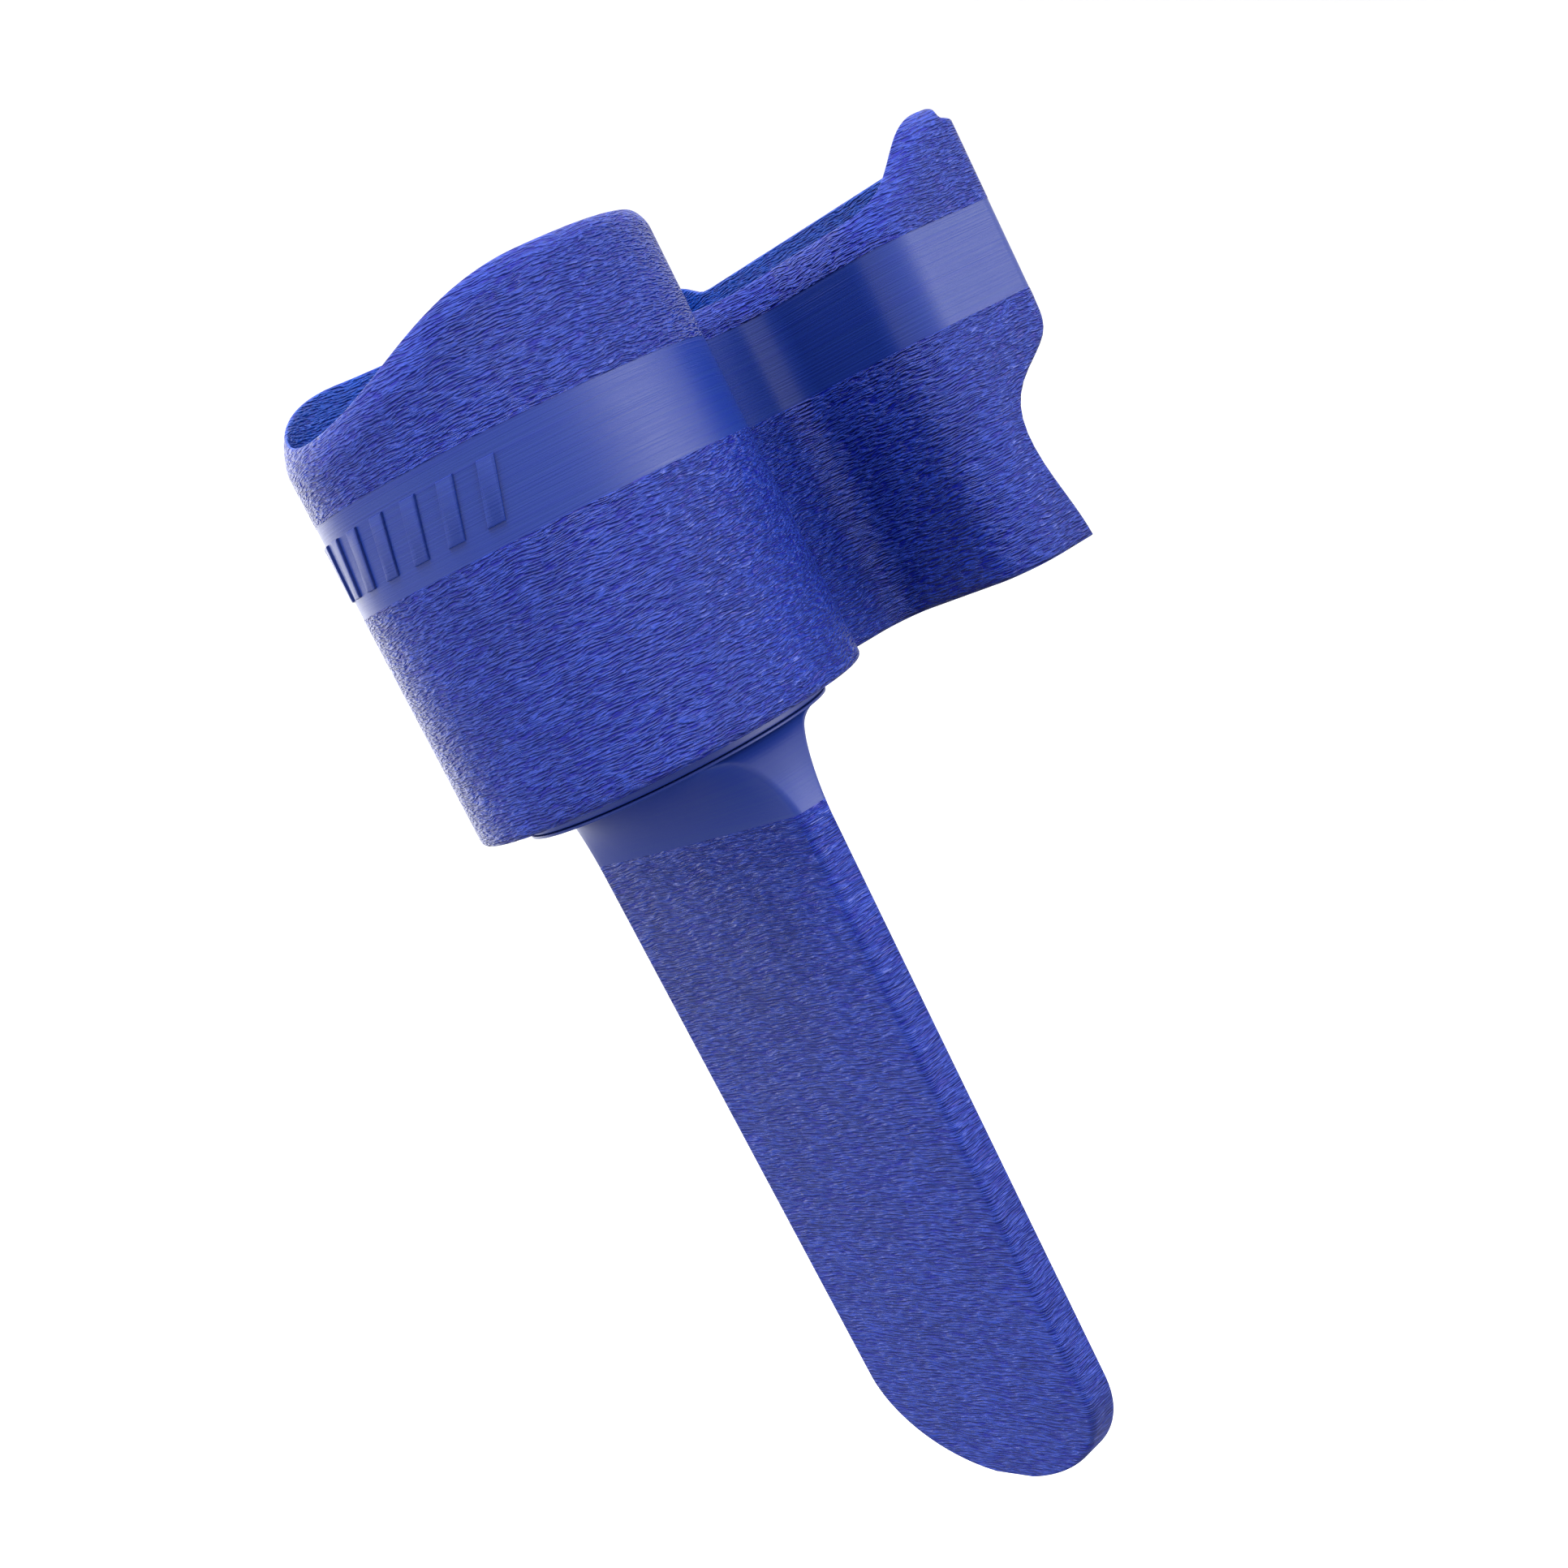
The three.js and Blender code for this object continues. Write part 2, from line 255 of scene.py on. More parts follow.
# ---- blue plastic ----
plastic = {
    "blue": (0.008, 0.026, 0.17, 1),  # smooth faces
    "ridgeSheen": (0.014, 0.036, 0.285, 1),  # tops of the grain: the blue with a painted sheen, lighter and more lavender
    "shadeAndStreakBlue": (0.0002, 0.004, 0.195, 1),  # painted shade in the grain's hollows; also the darker fine lines on the belt
    # inner faces: the same plastic in a brighter, more saturated blue, painted bounce light inside the cup
    "inside": (0.002, 0.045, 0.33, 1),
    "refraction": 1.5,
    "grainLong": 420.0,  # grain cycles per metre along the surface
    "handleGrainLong": 270.0,
    "grainHigh": 3300.0,  # grain cycles per metre up the surface
    "grainDepth": 0.00080,
    "grainRelief": (0.32, 0.68),  # part of the noise that makes the relief
    "grainShadeRange": (0.38, 0.50),  # part of the noise that gets painted shade
    "grainShine": 0.44,
    "swayScale": 160.0,  # slow waver of the dashes, cycles per metre
    "swayReach": 0.0010,
    "mottleScale": 55.0,
    "roughness": 0.36,
    "roughnessSpread": 0.10,
    "beltLineHigh": 3200.0,
    "beltLineLong": 26.0,
    "beltLineDepth": 0.00009,
    "beltStreak": 0.25,
    "beltMottleScale": 40.0,
    "beltMottleDepth": 0.00006,
    "beltRoughness": 0.36,
    "neckRoughness": 0.38,
}


class NodeTree:
    def __init__(self, material):
        self.tree = material.node_tree
        self.shader = self.tree.nodes["Principled BSDF"]
        self.column = 0

    def add(self, kind, **settings):
        node = self.tree.nodes.new(kind)
        self.column += 1
        node.location = (-180 * self.column, -60 * (self.column % 5))
        for key, value in settings.items():
            setattr(node, key, value)
        return node

    def link(self, source, target):
        self.tree.links.new(source, target)

    def noise(self, vector, scale, detail, roughness=0.5):
        node = self.add("ShaderNodeTexNoise")
        node.inputs["Scale"].default_value = scale
        node.inputs["Detail"].default_value = detail
        node.inputs["Roughness"].default_value = roughness
        self.link(vector, node.inputs["Vector"])
        return node.outputs["Fac"]

    def stretch(self, vector, scale):
        node = self.add("ShaderNodeMapping")
        node.inputs["Scale"].default_value = scale
        self.link(vector, node.inputs["Vector"])
        return node.outputs["Vector"]

    def spread(self, value, low, high, toLow, toHigh):
        node = self.add("ShaderNodeMapRange")
        for key, number in (("From Min", low), ("From Max", high), ("To Min", toLow), ("To Max", toHigh)):
            node.inputs[key].default_value = number
        self.link(value, node.inputs["Value"])
        return node.outputs["Result"]

    def blend(self, value, first, second):
        node = self.add("ShaderNodeMix", data_type="RGBA")
        node.inputs["A"].default_value = first
        node.inputs["B"].default_value = second
        self.link(value, node.inputs["Factor"])
        return node.outputs["Result"]

    def bump(self, height, distance, strength=1.0, before=None):
        node = self.add("ShaderNodeBump")
        node.inputs["Strength"].default_value = strength
        node.inputs["Distance"].default_value = distance
        self.link(height, node.inputs["Height"])
        if before is not None:
            self.link(before, node.inputs["Normal"])
        return node.outputs["Normal"]


# Moulded grain: short wavy dashes that run level round the part, with painted shade where they are deep; the
# colour given for the tops carries painted light.
def grainPlastic(name, depth, blue, hollowShade, long=plastic["grainLong"]):
    material = bpy.data.materials.new(name)
    material.use_nodes = True
    tree = NodeTree(material)
    place = tree.add("ShaderNodeTexCoord").outputs["Object"]
    sway = tree.add("ShaderNodeTexNoise")  # slow waver of the dashes
    sway.inputs["Scale"].default_value = plastic["swayScale"]
    sway.inputs["Detail"].default_value = 1.0
    tree.link(place, sway.inputs["Vector"])
    shift = tree.add("ShaderNodeVectorMath", operation="SCALE")
    shift.inputs["Scale"].default_value = plastic["swayReach"]
    tree.link(sway.outputs["Color"], shift.inputs[0])
    moved = tree.add("ShaderNodeVectorMath", operation="ADD")
    tree.link(place, moved.inputs[0])
    tree.link(shift.outputs["Vector"], moved.inputs[1])
    stretched = tree.stretch(moved.outputs["Vector"], (long, long, plastic["grainHigh"]))
    dashes = tree.noise(stretched, 1.0, 1.0)
    relief = tree.spread(dashes, *plastic["grainRelief"], 0, 1)
    # painted shade: the deep parts of the dashes are darkened towards the dark blue
    shade = tree.spread(dashes, *plastic["grainShadeRange"], hollowShade, 0)
    mottle = tree.noise(place, plastic["mottleScale"], 3, 0.6)
    colour = tree.blend(shade, blue, plastic["shadeAndStreakBlue"])
    tone = tree.add("ShaderNodeHueSaturation")
    tree.link(tree.spread(mottle, 0.3, 0.7, 0.9, 1.1), tone.inputs["Value"])
    tree.link(colour, tone.inputs["Color"])
    tree.link(tone.outputs["Color"], tree.shader.inputs["Base Color"])
    low = plastic["roughness"] - plastic["roughnessSpread"] / 2
    rough = tree.spread(dashes, 0.3, 0.65, low + plastic["roughnessSpread"], low)
    tree.link(rough, tree.shader.inputs["Roughness"])
    tree.link(tree.bump(relief, depth), tree.shader.inputs["Normal"])
    tree.shader.inputs["IOR"].default_value = plastic["refraction"]
    tree.shader.inputs["Specular IOR Level"].default_value = plastic["grainShine"]
    return material


# Smooth moulding with very fine level lines, as on the belt.
def smoothPlastic(name, lineDepth, roughness):
    material = bpy.data.materials.new(name)
    material.use_nodes = True
    tree = NodeTree(material)
    place = tree.add("ShaderNodeTexCoord").outputs["Object"]
    long, high = plastic["beltLineLong"], plastic["beltLineHigh"]
    lines = tree.noise(tree.stretch(place, (long, long, high)), 1.0, 3.0, 0.6)
    mottle = tree.noise(place, plastic["beltMottleScale"], 3, 0.6)
    streak = tree.spread(lines, 0.35, 0.65, 0, plastic["beltStreak"])
    # fine level lines tinted darker, in the dark blue that also paints the grain's shade
    tree.link(tree.blend(streak, plastic["blue"], plastic["shadeAndStreakBlue"]), tree.shader.inputs["Base Color"])
    tree.link(tree.spread(mottle, 0.3, 0.7, roughness - 0.03, roughness + 0.05),
              tree.shader.inputs["Roughness"])
    fine = tree.bump(lines, lineDepth)
    soft = tree.bump(mottle, plastic["beltMottleDepth"], 0.6, fine)
    tree.link(soft, tree.shader.inputs["Normal"])
    tree.shader.inputs["IOR"].default_value = plastic["refraction"]
    return material


# outer grain and handle: tops in the blue with a painted sheen; the last number is how much painted shade
# goes into the grain's hollows
grainBlue = grainPlastic("grainBlue", plastic["grainDepth"], plastic["ridgeSheen"], 0.9)
handleBlue = grainPlastic("handleBlue", plastic["grainDepth"] * 0.75, plastic["ridgeSheen"], 0.8,
                          plastic["handleGrainLong"])
# inner faces: painted bounce light in the tops' colour, lighter painted shade in the hollows
innerBounceLitBlue = grainPlastic("innerBounceLitBlue", plastic["grainDepth"] * 0.6, plastic["inside"], 0.6)
beltBlue = smoothPlastic("beltBlue", plastic["beltLineDepth"], plastic["beltRoughness"])
neckBlue = smoothPlastic("neckBlue", plastic["beltLineDepth"] * 0.3, plastic["neckRoughness"])
print("plastic ready")


# ---- head: cup, waist, shoulders and rear chamber as one wall that follows an outline ----
headHigh = nodeBox("head_shell")[1]
head = {
    "cupRadius": 35.0,
    "height": headHigh[2],
    "wall": 2.6,
    "waistHalf": 11.5,
    "waistInRadius": 4.0,
    "waistOutRadius": 6.0,
    "shoulderY": 48.5,
    "shoulderRadius": 9.0,
    "chamberHalf": headHigh[0],
    "chamberBack": headHigh[1],
    "backRadius": 3.6,
    "frontRim": 67.4,  # rim heights, round from the cup's front to the back wall
    "lowRim": 62.9,
    "earRim": 75.0,
    "cornerRim": 72.9,
    "backRim": 69.5,
    "beltLow": 41.4,
    "beltHigh": 57.6,
    "beltStep": 0.06,  # the belt lies this much under the grain
    "backFoot": 38.6,  # lower edge of the back wall
    "backEdgeIn": 0.9,  # from the back face to the side wall's free edge
    "earEnd": 71.5,  # where the ear's flat top begins, from the front
    "rimBulge": 1.45,
    "rimRound": 2.15,  # how far the rim's rounding takes in the wall's thickness
    "innerRound": 0.45,
    "footRound": 0.9,
    "edgeRound": 1.1,
    "floorThick": 3.0,
    "floorLow": 0.02,
    "smoothBelow": 50,  # degrees; sharper edges stay crisp
}
wall = head["wall"]
lowRim, earRim = head["lowRim"], head["earRim"]
waistInX = head["waistHalf"] + head["waistInRadius"]
waistInY = math.sqrt((head["cupRadius"] + head["waistInRadius"]) ** 2 - waistInX ** 2)
cupEnd = math.atan2(waistInY, waistInX)


# Right half of the outer outline, from the front of the cup round to the middle of the back.
def outlineParts():
    h = head
    right = math.pi / 2
    outX = h["waistHalf"] + h["waistOutRadius"]
    cornerX = h["chamberHalf"] - h["shoulderRadius"]
    cornerY = h["shoulderY"] + h["shoulderRadius"]
    backX = h["chamberHalf"] - h["backRadius"]
    backY = h["chamberBack"] - h["backRadius"]
    hollowY = h["shoulderY"] - h["waistOutRadius"]
    return {
        "cup": ("arc", 0, 0, h["cupRadius"], -right, cupEnd),
        "neckIn": ("arc", waistInX, waistInY, h["waistInRadius"], cupEnd + math.pi, math.pi),
        "neck": ("line", h["waistHalf"], waistInY, h["waistHalf"], hollowY),
        "neckOut": ("arc", outX, hollowY, h["waistOutRadius"], math.pi, right),
        "shoulder": ("line", outX, h["shoulderY"], cornerX, h["shoulderY"]),
        "corner": ("arc", cornerX, cornerY, h["shoulderRadius"], -right, 0),
        "side": ("line", h["chamberHalf"], cornerY, h["chamberHalf"], backY),
        "backCorner": ("arc", backX, backY, h["backRadius"], 0, right),
        "back": ("line", backX, h["chamberBack"], 0, h["chamberBack"]),
    }


def partLength(part):
    if part[0] == "arc":
        return part[3] * abs(part[5] - part[4])
    return math.hypot(part[3] - part[1], part[4] - part[2])


parts = outlineParts()
starts = {}
totalLength = 0.0
for partName, part in parts.items():
    starts[partName] = totalLength
    totalLength += partLength(part)


# The outer point and the outward direction at each distance along the outline.
def alongOutline(s):
    s = np.asarray(s, float)
    xy = np.zeros(s.shape + (2,))
    out = np.zeros(s.shape + (2,))
    for partName, part in parts.items():
        length = partLength(part)
        begin = starts[partName]
        last = partName == "back"
        inside = (s >= begin - 1e-9) & ((s < begin + length) | last)
        t = np.clip((s - begin) / length, 0, 1)
        if part[0] == "arc":
            a = part[4] + (part[5] - part[4]) * t
            ray = np.stack([np.cos(a), np.sin(a)], -1)
            points = np.array(part[1:3]) + part[3] * ray
            normals = ray * (1 if part[5] > part[4] else -1)
        else:
            begin2 = np.array(part[1:3], float)
            step = np.array(part[3:5], float) - begin2
            points = begin2 + t[..., None] * step
            normals = np.broadcast_to(np.array([step[1], -step[0]]) / length, points.shape)
        xy[inside] = points[inside]
        out[inside] = normals[inside]
    return xy, out


def bezier(p0, p1, p2, p3, steps=40):
    t = np.linspace(0, 1, steps + 1)[:, None]
    p0, p1, p2, p3 = (np.array(p, float) for p in (p0, p1, p2, p3))
    return p0 * (1 - t) ** 3 + 3 * p1 * t * (1 - t) ** 2 + 3 * p2 * t ** 2 * (1 - t) + p3 * t ** 3


# Rim heights in side view, from the front of the cup to the ears.
rimCurve = np.concatenate([
    bezier((-37, head["frontRim"]), (-30.5, 67.7), (-25, 79.6), (-5, 79.6)),
    bezier((-5, 79.6), (5, 79.8), (16, head["height"]), (26.5, head["height"]))[1:],
    bezier((26.5, head["height"]), (34, head["height"]), (29.5, lowRim), (37, lowRim))[1:],
    bezier((37, lowRim), (40, lowRim), (42, lowRim), (45, lowRim))[1:],
    bezier((45, lowRim), (60.5, lowRim), (62, earRim), (head["earEnd"], earRim))[1:],
])
earStart = starts["side"] + head["earEnd"] - parts["side"][2]
# After the ear's flat top: a rounded drop to the corner's rim, then down to the back wall's rim.
earAlong = np.array([0, 2.2, 2.8, 3.15, 3.4, 3.55, 3.65, 3.8, 4.1, 9.5, 11.0, 13.0, 15.0, 17.0, 19.0])
earHigh = np.array([earRim, earRim, 74.9, 74.65, 74.2, 73.6, 73.2, 73.0, head["cornerRim"], 72.85, 72.6,
                    71.6, 70.3, 69.65, head["backRim"]])


def rimHeight(s, y):
    return np.where(s < earStart, np.interp(y, rimCurve[:, 0], rimCurve[:, 1]),
                    np.interp(s - earStart, earAlong, earHigh))


# The free edge of the side wall below the belt, in side view, as distance along the outline.
footCurve = np.concatenate([
    bezier((65.6, 0), (65, 7), (61.4, 14), (62, 20.6)),
    bezier((62, 20.6), (63, 31.4), (77.6, 29.4), (77.6, head["backFoot"]))[1:],
])
scanS = np.linspace(starts["side"], starts["back"], 600)
scanY = alongOutline(scanS)[0][:, 1]
edgeY = head["chamberBack"] - head["backEdgeIn"]
edgeS = float(np.interp(edgeY, scanY, scanS))


def edgeAlong(z):
    return np.interp(np.interp(z, footCurve[:, 1], footCurve[:, 0]), scanY, scanS)


# Distances along the outline where the mesh has a column: close where it curves or has an edge.
def columnPlaces():
    spans = {"cup": 1.15, "neckIn": 0.5, "neck": 0.9, "neckOut": 0.9, "shoulder": 1.3, "corner": 0.9,
             "side": 1.1, "backCorner": 0.5, "back": 1.6}
    places = []
    for partName, span in spans.items():
        length = partLength(parts[partName])
        count = max(2, round(length / span))
        places += list(starts[partName] + length * np.arange(count) / count)
    steepStart = starts["cup"] + head["cupRadius"] * (math.pi / 2 + math.radians(48))
    places += list(np.arange(steepStart, starts["neckIn"], 0.45))
    places += [edgeS - gap for gap in (0, 0.07, 0.18, 0.34, 0.58, 0.9, 1.3)]
    earDrop = (2.2, 2.5, 2.8, 3.0, 3.15, 3.3, 3.4, 3.48, 3.56, 3.64, 3.72, 3.82, 4.0)
    places += [earStart + along for along in earDrop]
    places.append(totalLength)
    places = np.unique(np.round(places, 4))
    exact = np.argmin(abs(places - edgeS))
    places[exact] = edgeS
    kept = [places[0]]
    for place in places[1:]:
        near = place - kept[-1] < 0.06
        if near and place not in (edgeS, totalLength):
            continue
        if near and kept[-1] != edgeS:
            kept.pop()
        kept.append(place)
    return np.array(kept)


# How far a rounding of the given depth and reach sets a point in, at a distance from the edge.
# A bulge of 2 is a quarter-round and 1 is a straight slope.
def roundIn(distance, depth, reach, bulge=2.0):
    k = np.clip(1 - distance / reach, 0, 1)
    return depth * (1 - (1 - k ** bulge) ** (1 / bulge))


def nearest(s, z, line):
    best = np.full(s.shape, 1e9)
    for (s0, z0), (s1, z1) in zip(line, line[1:]):
        ds, dz = s1 - s0, z1 - z0
        size = ds * ds + dz * dz
        t = np.clip(((s - s0) * ds + (z - z0) * dz) / size, 0, 1) if size > 0 else 0
        best = np.minimum(best, np.hypot(s - s0 - t * ds, z - z0 - t * dz))
    return best


def headWall():
    s = columnPlaces()
    edgeColumn = int(np.argmin(abs(s - edgeS)))
    sideColumn = int(np.searchsorted(s, starts["side"]))
    xy, _ = alongOutline(s)
    top = rimHeight(s, xy[:, 1])
    rimShare = np.array([0, .003, .009, .018, .03, .045, .065, .09, .12, .155, .195, .24, .3, .37, .45,
                         .54, .65, .77, .89, 1])
    beltDrop = np.array([0.05, 0.5, 3.5, 6.5, 9.5, 12.5, 15.7, 16.15, 16.2])
    footDrop = np.array([0.35, 0.8, 1.2, 1.6, 1.95, 2.25, 2.45, 2.6, 2.7, 2.77, 2.8])
    lowDrop = np.array([0.1, .25, .5, .9, 1.5, 2.3, 3.2, 4.2, 5.3, 6.5, 7.8, 9.2, 10.7, 12.3, 14, 16, 18.5,
                        21, 24, 27, 30, 32.5, 34.5, 36, 36.9, 37.5, 37.9, 38.15, 38.33, 38.46, 38.55, 38.6])
    rows = []  # rows of (s, z) from the rim down to the foot
    for share in rimShare:
        rows.append((s, top - share * (top - head["beltHigh"])))
    beltRow = len(rows) - 1
    for drop in beltDrop:
        rows.append((s, np.full(s.shape, head["beltHigh"] - drop)))
    beltEnd = len(rows) - 1
    for drop in footDrop:
        rows.append((s, np.full(s.shape, head["beltLow"] - drop)))
    footRow = len(rows) - 1
    for drop in lowDrop:
        z = head["backFoot"] - drop
        squeeze = (edgeAlong(z) - starts["side"]) / (edgeS - starts["side"])
        moved = np.where(s > starts["side"], starts["side"] + (s - starts["side"]) * squeeze, s)
        rows.append((moved, np.full(s.shape, z)))
    rowS = np.array([r[0] for r in rows])
    rowZ = np.array([r[1] for r in rows])

    rimLine = list(zip(s, top))
    fromRim = nearest(rowS, rowZ, rimLine)
    edgeLine = [(float(edgeAlong(z)), z) for z in np.linspace(0, head["backFoot"], 70)]
    edgeLine += [(edgeS, head["backFoot"]), (totalLength, head["backFoot"])]
    fromEdge = nearest(rowS, rowZ, edgeLine)

    # the rim is rounder on the cup and the ears than on the shoulder
    reachAt = ((0, 3.6), (38, 3.4), (62, 2.0), (starts["neckIn"], 3.6), (starts["shoulder"], 5.0),
               (starts["side"], 5.0), (earStart, 3.4), (earStart + 3.4, 1.2), (starts["back"], 1.4),
               (totalLength, 2.4))
    reach = np.interp(rowS, *zip(*reachAt))
    depthAt = ((0, 1.0), (38, 0.95), (62, 0.6), (starts["neckIn"], 0.75), (starts["shoulder"], 1.0),
               (totalLength, 1.0))
    depth = head["rimRound"] * np.interp(rowS, *zip(*depthAt))
    shareDown = np.clip((top - rowZ) / (top - head["beltHigh"]), 0, 1)

    def surface(kind):
        if kind == "outer":
            inset = roundIn(fromRim, depth, reach, head["rimBulge"])
            edge = roundIn(fromEdge, head["edgeRound"], head["edgeRound"])
            foot = roundIn(rowZ, head["footRound"], head["footRound"])
            inset = np.maximum(inset, np.maximum(edge, foot))
            row = np.arange(len(rows))
            belt = (row > beltRow) & (row < beltEnd)
            inset = inset + np.where(belt, head["beltStep"], 0)[:, None]
        else:
            soft = head["innerRound"]
            inset = np.minimum.reduce([wall - roundIn(fromRim, soft, soft),
                                       wall - roundIn(fromEdge, soft, soft)])
        points, normals = alongOutline(rowS)
        points = points - inset[..., None] * normals
        z = rowZ.copy()
        for i in range(beltRow):
            rimZ = rimHeight(rowS[i], points[i, :, 1])
            z[i] = rimZ - shareDown[i] * (rimZ - head["beltHigh"])
        return np.concatenate([points, z[..., None]], -1)

    outer = surface("outer")
    inner = surface("inner")
    return outer, inner, edgeColumn, footRow, beltRow, beltEnd


def headMesh():
    outer, inner, edgeColumn, footRow, beltRow, beltEnd = headWall()
    rowCount, half = outer.shape[:2]
    columns = 2 * half - 2  # the right half, then the mirrored left half
    points = []
    index = {}
    for side, surface in (("outer", outer), ("inner", inner)):
        for r in range(rowCount):
            for c in range(columns):
                k = c if c < half else columns - c
                if r > footRow and k > edgeColumn:
                    continue
                x, y, z = surface[r, k]
                if k in (0, half - 1):
                    x = 0.0
                index[side, r, c] = len(points)
                points.append((x if c < half else -x, y, z))
    faces = []
    slots = []

    def addFace(a, b, c, d, slotIndex):
        corners = [index.get(a), index.get(b), index.get(c), index.get(d)]
        if None in corners:
            return
        faces.append(corners)
        slots.append(slotIndex)

    for r in range(rowCount - 1):
        for c in range(columns):
            n = (c + 1) % columns
            belt = beltRow + 1 <= r < beltEnd - 1
            addFace(("outer", r + 1, c), ("outer", r + 1, n), ("outer", r, n), ("outer", r, c),
                    1 if belt else 0)
            addFace(("inner", r, c), ("inner", r, n), ("inner", r + 1, n), ("inner", r + 1, c), 2)
    last = rowCount - 1
    for c in range(columns):
        n = (c + 1) % columns
        addFace(("outer", 0, c), ("outer", 0, n), ("inner", 0, n), ("inner", 0, c), 0)
        addFace(("inner", last, c), ("inner", last, n), ("outer", last, n), ("outer", last, c), 0)
        k, m = (i if i < half else columns - i for i in (c, n))
        if min(k, m) >= edgeColumn:
            r = footRow
            addFace(("inner", r, c), ("inner", r, n), ("outer", r, n), ("outer", r, c), 0)
    for r in range(footRow, last):
        for c, flip in ((edgeColumn, False), (columns - edgeColumn, True)):
            ring = [("outer", r, c), ("outer", r + 1, c), ("inner", r + 1, c), ("inner", r, c)]
            if flip:
                ring.reverse()
            addFace(*ring, 0)
    shell = meshObject("headWall", points, faces)
    shell.data.polygons.foreach_set("material_index", slots)
    return shell


def cleanNormals(obj):
    work = bmesh.new()
    work.from_mesh(obj.data)
    bmesh.ops.remove_doubles(work, verts=work.verts, dist=1e-7)
    bmesh.ops.recalc_face_normals(work, faces=work.faces)
    work.to_mesh(obj.data)
    work.free()


def bakeModifiers(obj):
    graph = bpy.context.evaluated_depsgraph_get()
    mesh = bpy.data.meshes.new_from_object(obj.evaluated_get(graph))
    old = obj.data
    obj.modifiers.clear()
    obj.data = mesh
    bpy.data.meshes.remove(old)
    return obj


def joinInto(target, others):
    bpy.context.view_layer.update()
    work = bmesh.new()
    work.from_mesh(target.data)
    for other in others:
        for material in other.data.materials:
            if material.name not in [m.name for m in target.data.materials]:
                target.data.materials.append(material)
        names = [m.name for m in target.data.materials]
        swap = [names.index(m.name) for m in other.data.materials]
        before = len(work.faces)
        work.from_mesh(other.data)
        work.faces.ensure_lookup_table()
        for face in work.faces[before:]:
            face.material_index = swap[face.material_index] if swap else 0
        bpy.data.objects.remove(other)
    work.to_mesh(target.data)
    work.free()
    return target


screwSet = {
    "spreadX": 28.0,
    "spreadY": 9.0,
    "middleY": -2.0,
    "holeRadius": 2.1,
    "shankRadius": 1.75,
    "headRadius": 3.4,
    "headLow": 3.3,
    "headHigh": 5.5,
    "tip": -6.6,
    "recessRadius": 1.9,
    "recessWide": 0.85,
    "recessDeep": 1.3,
    "threadPitch": 0.8,
    "threadDeep": 0.28,
    "threadRise": 0.35,
    "domeFoot": 0.9,  # height of the head's rim, under its dome
    "smoothBelow": 35,
}


def screwPlaces():
    x, y = screwSet["spreadX"] / 2, screwSet["spreadY"] / 2
    return [(i * x, screwSet["middleY"] + j * y) for i in (-1, 1) for j in (-1, 1)]


def drill(obj, low, high):
    bits = [latheMesh("drillBit", [(0, low), (screwSet["holeRadius"], low), (screwSet["holeRadius"], high),
                                   (0, high)], 32, place) for place in screwPlaces()]
    bit = joinInto(bits[0], bits[1:])
    cleanNormals(bit)
    cut = obj.modifiers.new("screwHoles", "BOOLEAN")
    cut.operation = "DIFFERENCE"
    cut.solver = "EXACT"
    cut.object = bit
    bakeModifiers(obj)
    bpy.data.objects.remove(bit)


def shadeByAngle(obj, degrees):
    obj.data.set_sharp_from_angle(angle=math.radians(degrees))
    obj.data.polygons.foreach_set("use_smooth", [True] * len(obj.data.polygons))


def setMaterials(obj, *materials):
    for material in materials:
        obj.data.materials.append(material)


def makeHead():
    shell = headMesh()
    setMaterials(shell, grainBlue, beltBlue, innerBounceLitBlue)
    cleanNormals(shell)
    radius = head["cupRadius"] - wall / 2
    thick = head["floorThick"]
    low = head["floorLow"]
    floor = latheMesh("cupFloor", [(0, low), (radius * 0.5, low), (radius, low), (radius, thick),
                                   (radius * 0.5, thick), (0, thick)], 96)
    setMaterials(floor, innerBounceLitBlue)
    cleanNormals(floor)
    drill(floor, -1, thick + 1)
    made = joinInto(shell, [floor])
    made.name = "headShell"
    shadeByAngle(made, head["smoothBelow"])
    return made


headShell = makeHead()
print("head shell", len(headShell.data.polygons), "faces")


# ---- slanted marks on the belt ----
marks = {
    "count": 9,
    "step": 11.5,  # degrees between marks
    "wide": 3.0,
    "high": 9.6,
    "slant": 3.0,
    "proud": 0.4,
    "root": 0.5,  # how far a mark reaches into the wall
    "soft": 0.22,  # rounding of the marks' upper edges
    "middle": 49.5,
    "columns": 7,  # steps across and up a mark, so that it follows the cup
    "rows": 13,
    "smoothBelow": 35,
}


# One mark, bent to the cup, standing at the cup's front.
def markTemplate():
    columns, rowsUp = marks["columns"], marks["rows"]
    soft, proud = marks["soft"], marks["proud"]
    layers = [(0, -marks["root"]), (0, proud - soft), (soft * 0.3, proud - soft * 0.3), (soft, proud)]
    points = []
    faces = []
    rings = []
    for inset, raised in layers:
        w = marks["wide"] / 2 - inset
        h = marks["high"] / 2 - inset
        loop = [(-w + 2 * w * i / columns, -h) for i in range(columns)]
        loop += [(w, -h + 2 * h * i / rowsUp) for i in range(rowsUp)]
        loop += [(w - 2 * w * i / columns, h) for i in range(columns)]
        loop += [(-w, h - 2 * h * i / rowsUp) for i in range(rowsUp)]
        ring = []
        for across, up in loop:
            slanted = across + marks["slant"] * up / marks["high"]
            a = slanted / head["cupRadius"] - math.pi / 2
            radius = head["cupRadius"] + raised
            ring.append(len(points))
            points.append((radius * math.cos(a), radius * math.sin(a), marks["middle"] + up))
        rings.append(ring)
    for low, high in zip(rings, rings[1:]):
        for i in range(len(low)):
            j = (i + 1) % len(low)
            faces.append((low[i], low[j], high[j], high[i]))
    faces.append(rings[-1])
    faces.append(rings[0][::-1])
    return meshObject("markTemplate", points, faces)


